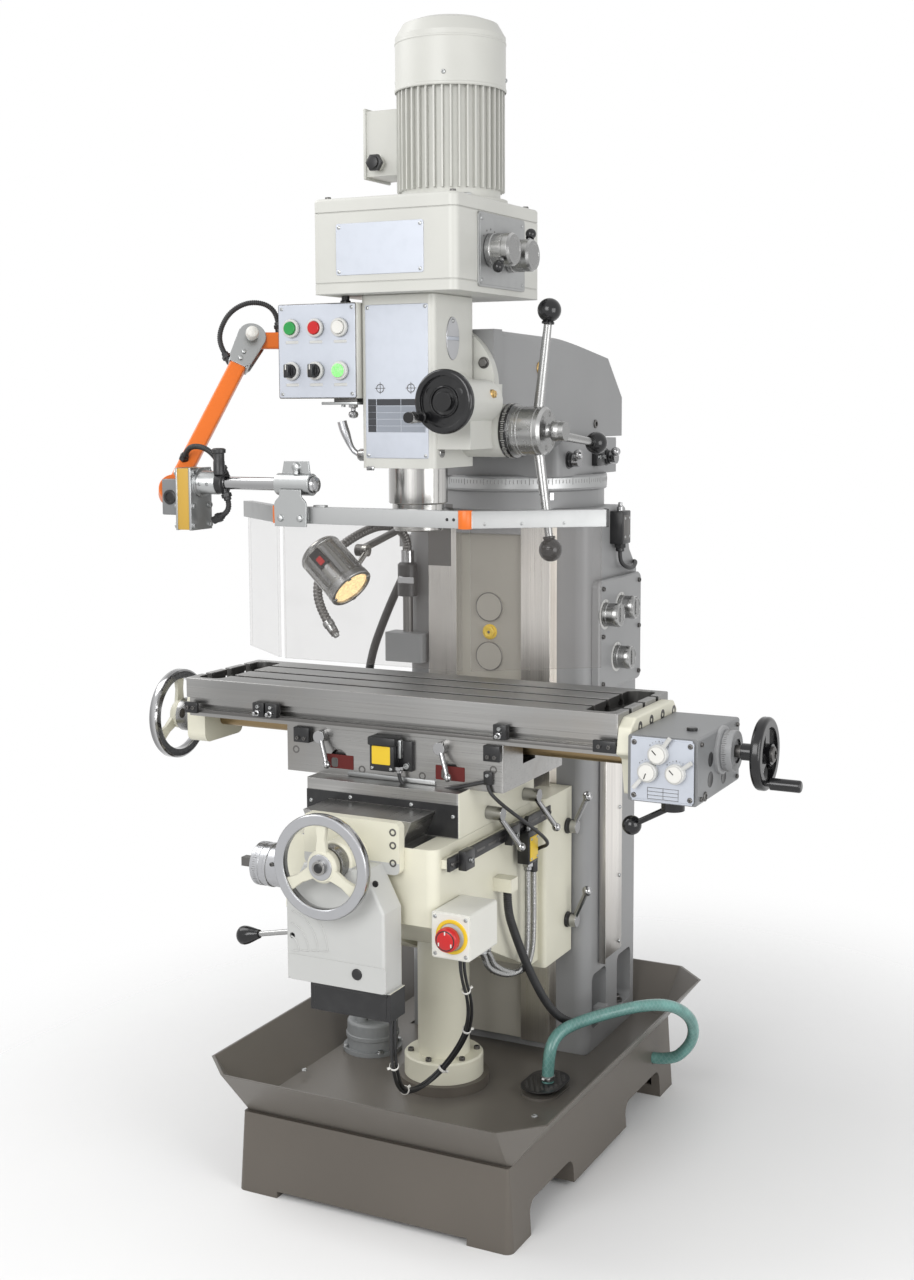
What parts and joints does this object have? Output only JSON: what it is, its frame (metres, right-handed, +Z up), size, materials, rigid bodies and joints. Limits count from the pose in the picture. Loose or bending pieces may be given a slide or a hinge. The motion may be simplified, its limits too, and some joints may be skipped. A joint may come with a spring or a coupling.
{
  "type": "milling drilling machine",
  "caption": "Floor-standing knee-type milling and drilling machine with chip tray, T-slot table, power feeds, swivelling ram turret, tilting quill head and flip-up guard.",
  "frame": {"origin": "on the floor under the middle of the machine's overall size, with cords left out", "axes": "+X to the operator's right along the table, +Y from the operator to the column, +Z up"},
  "size_m": [1.248, 1.084, 2.089],
  "materials": {
    "base_paint": "textured taupe enamel",
    "grey_paint": "satin mid-grey enamel",
    "cream_paint": "satin cream-white enamel",
    "pump_paint": "satin grey enamel",
    "machined_steel": "ground and scraped steel",
    "chrome": "polished chrome plate",
    "black_plastic": "glossy moulded black plastic",
    "gearbox_grey": "satin dark-grey enamel",
    "box_white": "powder-coated off-white",
    "dial_silver": "satin anodised",
    "arm_orange": "gloss orange enamel",
    "guard_clear": "clear sheet",
    "bare_aluminium": "brushed extrusion",
    "red_plastic": "gloss red",
    "green_plastic": "gloss green",
    "white_plastic": "gloss white",
    "hose_green": "translucent soft hose",
    "cable_black": "matt black sheath"
  },
  "bodies": {
    "frame": {"base_casting": "base_paint", "chip_tray": "base_paint", "column": "grey_paint", "pedestal": "cream_paint", "coolant_pump": "pump_paint", "column_lines": "cable_black", "coolant_hose": "hose_green"},
    "knee": {"knee": "cream_paint", "cross_feed_unit": "cream_paint", "knee_cables": "cable_black"},
    "cross_screw": {"cross_screw": "machined_steel", "cross_handwheel": "chrome"},
    "saddle": {"saddle": "machined_steel"},
    "table": {"table": "machined_steel", "table_end_brackets": "cream_paint", "feed_gearbox": "gearbox_grey"},
    "table_screw": {"table_screw": "machined_steel", "table_handwheel": "chrome"},
    "turret": {"turret": "grey_paint"},
    "ram": {"ram": "grey_paint", "guard_arm": "arm_orange"},
    "guard": {"guard_screen": "bare_aluminium", "guard_panes": "guard_clear"},
    "head": {"head_casting": "cream_paint", "gearbox_case": "cream_paint", "motor": "cream_paint", "control_box": "box_white"},
    "lift_screw": {"lift_screw": "machined_steel"},
    "lift_shaft": {"lift_shaft": "machined_steel"},
    "quill": {"quill": "machined_steel"},
    "spindle": {"spindle": "machined_steel"},
    "knee_clamp_upper": {"knee_clamp_upper": "chrome"},
    "knee_clamp_lower": {"knee_clamp_lower": "chrome"},
    "saddle_clamp_front": {"saddle_clamp_front": "chrome"},
    "saddle_clamp_rear": {"saddle_clamp_rear": "chrome"},
    "table_clamp_left": {"table_clamp_left": "chrome"},
    "table_clamp_right": {"table_clamp_right": "chrome"},
    "turret_clamp_front": {"turret_clamp_front": "chrome"},
    "turret_clamp_rear": {"turret_clamp_rear": "chrome"},
    "quill_lock": {"quill_lock": "chrome"},
    "quill_hub": {"quill_hub": "chrome"},
    "cross_feed_lever": {"cross_feed_lever": "black_plastic"},
    "feed_handwheel": {"feed_handwheel": "black_plastic"},
    "feed_lever": {"feed_lever": "black_plastic"},
    "fine_feed_wheel": {"fine_feed_wheel": "black_plastic"},
    "selector_left": {"selector_left": "black_plastic"},
    "selector_right": {"selector_right": "black_plastic"},
    "feed_knob_upper": {"feed_knob_upper": "dial_silver"},
    "feed_knob_left": {"feed_knob_left": "dial_silver"},
    "feed_knob_right": {"feed_knob_right": "dial_silver"},
    "column_knob_front": {"column_knob_front": "dial_silver"},
    "column_knob_rear": {"column_knob_rear": "dial_silver"},
    "column_knob_lower": {"column_knob_lower": "dial_silver"},
    "speed_knob_front": {"speed_knob_front": "dial_silver"},
    "speed_knob_rear": {"speed_knob_rear": "dial_silver"},
    "work_lamp": {"work_lamp": "bare_aluminium"},
    "estop_button": {"estop_button": "red_plastic"},
    "stop_button": {"stop_button": "red_plastic"},
    "start_button": {"start_button": "green_plastic"},
    "jog_button": {"jog_button": "white_plastic"}
  },
  "joints": [
    {"name": "knee_lift", "type": "slide", "parent": "frame", "child": "knee", "axis": [0, 0, 1], "range_m": [-0.148, 0.045], "deforming": ["knee_cables"]},
    {"name": "lift_shaft_turn", "type": "hinge", "parent": "knee", "child": "lift_shaft", "pos_m": [-0.355, -0.346, 0.6], "axis": [-1, 0, 0], "range_deg": [-10656, 3240]},
    {"name": "lift_screw_turn", "type": "hinge", "parent": "knee", "child": "lift_screw", "pos_m": [-0.079, -0.101, 0.45], "axis": [0, 0, 1], "range_deg": [-10656, 3240]},
    {"name": "saddle_cross", "type": "slide", "parent": "knee", "child": "saddle", "axis": [0, 1, 0], "range_m": [-0.08, 0.095]},
    {"name": "cross_wheel_turn", "type": "hinge", "parent": "knee", "child": "cross_screw", "pos_m": [-0.079, -0.528, 0.668], "axis": [0, -1, 0], "range_deg": [-5760, 6840]},
    {"name": "table_travel", "type": "slide", "parent": "saddle", "child": "table", "axis": [1, 0, 0], "range_m": [-0.2, 0.2]},
    {"name": "table_wheel_turn", "type": "hinge", "parent": "table", "child": "table_screw", "pos_m": [-0.609, -0.186, 0.821], "axis": [-1, 0, 0], "range_deg": [-14400, 14400]},
    {"name": "feed_wheel_turn", "type": "hinge", "parent": "table", "child": "feed_handwheel", "pos_m": [0.557, -0.196, 0.85], "axis": [1, 0, 0], "range_deg": [-14400, 14400]},
    {"name": "feed_lever_swing", "type": "hinge", "parent": "table", "child": "feed_lever", "pos_m": [0.434, -0.286, 0.77], "axis": [0, 0, 1], "range_deg": [-30, 30]},
    {"name": "feed_knob_upper_turn", "type": "hinge", "parent": "table", "child": "feed_knob_upper", "pos_m": [0.422, -0.326, 0.861], "axis": [0, -1, 0], "range_deg": [-25, 25]},
    {"name": "feed_knob_left_turn", "type": "hinge", "parent": "table", "child": "feed_knob_left", "pos_m": [0.405, -0.326, 0.831], "axis": [0, -1, 0], "range_deg": [-25, 25]},
    {"name": "feed_knob_right_turn", "type": "hinge", "parent": "table", "child": "feed_knob_right", "pos_m": [0.451, -0.326, 0.832], "axis": [0, -1, 0], "range_deg": [-25, 25]},
    {"name": "table_clamp_left_turn", "type": "hinge", "parent": "saddle", "child": "table_clamp_left", "pos_m": [-0.218, -0.3, 0.83], "axis": [0, -1, 0], "range_deg": [-35, 35]},
    {"name": "table_clamp_right_turn", "type": "hinge", "parent": "saddle", "child": "table_clamp_right", "pos_m": [0.021, -0.3, 0.83], "axis": [0, -1, 0], "range_deg": [-35, 35]},
    {"name": "saddle_clamp_front_turn", "type": "hinge", "parent": "saddle", "child": "saddle_clamp_front", "pos_m": [0.081, -0.22, 0.706], "axis": [1, 0, 0], "range_deg": [-60, 0]},
    {"name": "saddle_clamp_rear_turn", "type": "hinge", "parent": "saddle", "child": "saddle_clamp_rear", "pos_m": [0.081, -0.066, 0.706], "axis": [1, 0, 0], "range_deg": [-60, 0]},
    {"name": "knee_clamp_upper_turn", "type": "hinge", "parent": "knee", "child": "knee_clamp_upper", "pos_m": [0.097, 0.097, 0.611], "axis": [1, 0, 0], "range_deg": [0, 75]},
    {"name": "knee_clamp_lower_turn", "type": "hinge", "parent": "knee", "child": "knee_clamp_lower", "pos_m": [0.097, 0.097, 0.427], "axis": [1, 0, 0], "range_deg": [0, 75]},
    {"name": "estop_press", "type": "slide", "parent": "knee", "child": "estop_button", "axis": [0, 1, 0], "range_m": [0, 0.006]},
    {"name": "cross_feed_lever_swing", "type": "hinge", "parent": "knee", "child": "cross_feed_lever", "pos_m": [-0.161, -0.463, 0.531], "axis": [0, 1, 0], "range_deg": [-14, 14]},
    {"name": "column_knob_front_turn", "type": "hinge", "parent": "frame", "child": "column_knob_front", "pos_m": [0.146, 0.172, 1.012], "axis": [1, 0, 0], "range_deg": [-60, 60]},
    {"name": "column_knob_rear_turn", "type": "hinge", "parent": "frame", "child": "column_knob_rear", "pos_m": [0.146, 0.254, 1.018], "axis": [1, 0, 0], "range_deg": [-60, 60]},
    {"name": "column_knob_lower_turn", "type": "hinge", "parent": "frame", "child": "column_knob_lower", "pos_m": [0.146, 0.234, 0.922], "axis": [1, 0, 0], "range_deg": [-60, 60]},
    {"name": "turret_swivel", "type": "hinge", "parent": "frame", "child": "turret", "pos_m": [-0.079, 0.246, 1.262], "axis": [0, 0, 1], "range_deg": [-35, 45]},
    {"name": "turret_clamp_front_turn", "type": "hinge", "parent": "turret", "child": "turret_clamp_front", "pos_m": [0.081, 0.14, 1.3073], "axis": [1, 0, 0], "range_deg": [-25, 25]},
    {"name": "turret_clamp_rear_turn", "type": "hinge", "parent": "turret", "child": "turret_clamp_rear", "pos_m": [0.081, 0.33, 1.3073], "axis": [1, 0, 0], "range_deg": [-25, 25]},
    {"name": "ram_slide", "type": "slide", "parent": "turret", "child": "ram", "axis": [0, -1, 0], "range_m": [-0.06, 0.15]},
    {"name": "guard_flip", "type": "hinge", "parent": "ram", "child": "guard", "pos_m": [-0.206, -0.396, 1.28], "axis": [-1, 0, 0], "range_deg": [0, 100]},
    {"name": "head_tilt", "type": "hinge", "parent": "ram", "child": "head", "pos_m": [-0.079, -0.091, 1.4456], "axis": [0, 1, 0], "range_deg": [-15, 45]},
    {"name": "start_button_press", "type": "slide", "parent": "head", "child": "start_button", "axis": [0, 1, 0], "range_m": [0, 0.004], "stiffness_N_per_m": 500, "springref_m": -0.004},
    {"name": "stop_button_press", "type": "slide", "parent": "head", "child": "stop_button", "axis": [0, 1, 0], "range_m": [0, 0.004], "stiffness_N_per_m": 500, "springref_m": -0.004},
    {"name": "jog_button_press", "type": "slide", "parent": "head", "child": "jog_button", "axis": [0, 1, 0], "range_m": [0, 0.004], "stiffness_N_per_m": 500, "springref_m": -0.004},
    {"name": "selector_left_turn", "type": "hinge", "parent": "head", "child": "selector_left", "pos_m": [-0.28, -0.286, 1.472], "axis": [0, -1, 0], "range_deg": [-45, 45]},
    {"name": "selector_right_turn", "type": "hinge", "parent": "head", "child": "selector_right", "pos_m": [-0.231, -0.286, 1.472], "axis": [0, -1, 0], "range_deg": [-45, 45]},
    {"name": "quill_feed", "type": "slide", "parent": "head", "child": "quill", "axis": [0, 0, -1], "range_m": [0, 0.12]},
    {"name": "quill_hub_turn", "type": "hinge", "parent": "head", "child": "quill_hub", "pos_m": [0.111, -0.1265, 1.3666], "axis": [1, 0, 0], "range_deg": [0, 509]},
    {"name": "spindle_spin", "type": "hinge", "parent": "quill", "child": "spindle", "pos_m": [-0.079, -0.188, 1.21], "axis": [0, 0, 1], "continuous": true},
    {"name": "fine_feed_turn", "type": "hinge", "parent": "head", "child": "fine_feed_wheel", "pos_m": [0.036, -0.308, 1.4176], "axis": [0, -1, 0], "continuous": true},
    {"name": "quill_lock_turn", "type": "hinge", "parent": "head", "child": "quill_lock", "pos_m": [-0.159, -0.241, 1.3256], "axis": [-1, 0, 0], "range_deg": [-30, 30]},
    {"name": "speed_knob_front_turn", "type": "hinge", "parent": "head", "child": "speed_knob_front", "pos_m": [0.086, -0.188, 1.6726], "axis": [1, 0, 0], "range_deg": [-60, 60]},
    {"name": "speed_knob_rear_turn", "type": "hinge", "parent": "head", "child": "speed_knob_rear", "pos_m": [0.086, -0.11, 1.6686], "axis": [1, 0, 0], "range_deg": [-60, 60]},
    {"name": "lamp_tilt", "type": "hinge", "parent": "frame", "child": "work_lamp", "pos_m": [-0.187, -0.195, 1.153], "axis": [1, 0, 0], "range_deg": [-15, 15]}
  ],
  "couplings": [
    {"joint": "lift_shaft_turn", "follows": "knee_lift", "rad_per_m": 1256.6},
    {"joint": "lift_screw_turn", "follows": "knee_lift", "rad_per_m": 1256.6},
    {"joint": "cross_wheel_turn", "follows": "saddle_cross", "rad_per_m": 1256.6},
    {"joint": "table_wheel_turn", "follows": "table_travel", "rad_per_m": 1256.6},
    {"joint": "feed_wheel_turn", "follows": "table_travel", "rad_per_m": 1256.6},
    {"joint": "quill_feed", "follows": "quill_hub_turn", "m_per_rad": 0.0135}
  ]
}
